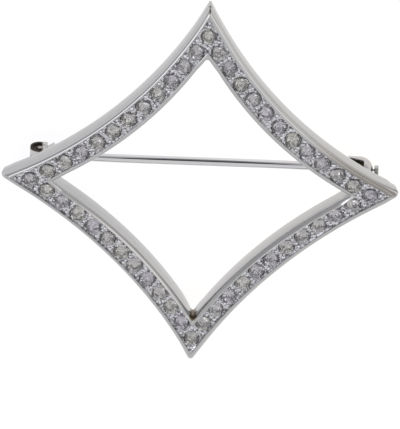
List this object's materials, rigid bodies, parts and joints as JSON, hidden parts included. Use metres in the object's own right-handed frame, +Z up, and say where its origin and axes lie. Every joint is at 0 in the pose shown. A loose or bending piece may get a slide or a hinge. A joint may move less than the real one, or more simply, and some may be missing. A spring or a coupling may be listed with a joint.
{
  "type": "brooch",
  "caption": "Open four-pointed brooch with bowed-in sides, a paved row of clear round crystals all round its face, and a pin stem with a turning catch behind it.",
  "frame": {"origin": "centre of the bounding box at the surface that the brooch lies on, face up: it touches with the bottom point, the hinge's lower ear and the catch's lower lip", "axes": "+X along the pin stem from the hinge to the catch, the viewer's right; +Z up, out of the face; the face leans 6.5 degrees towards -Y, the bottom point's side"},
  "size_m": [0.05, 0.0502, 0.0086],
  "materials": {
    "frame": "polished, rhodium-coloured plating",
    "crystals": "clear cut crystals in a row",
    "hinge_rivet": "plain steel",
    "pin_stem": "smooth drawn wire",
    "catch_roller": "plated, slightly dull"
  },
  "bodies": {
    "brooch": {"frame": "frame", "crystals": "crystals", "hinge_rivet": "hinge_rivet"},
    "pin_stem": {"pin_stem": "pin_stem"},
    "catch_roller": {"catch_roller": "catch_roller"}
  },
  "joints": [
    {"name": "pin_stem_hinge", "type": "hinge", "parent": "brooch", "child": "pin_stem", "pos_m": [-0.02035, 0.00156, 0.00159], "axis": [0, 0.9937, 0.1124], "range_deg": [0, 90]},
    {"name": "catch_roller_turn", "type": "hinge", "parent": "brooch", "child": "catch_roller", "pos_m": [0.02, 0.00156, 0.00159], "axis": [1, 0, 0], "range_deg": [0, 100]}
  ]
}
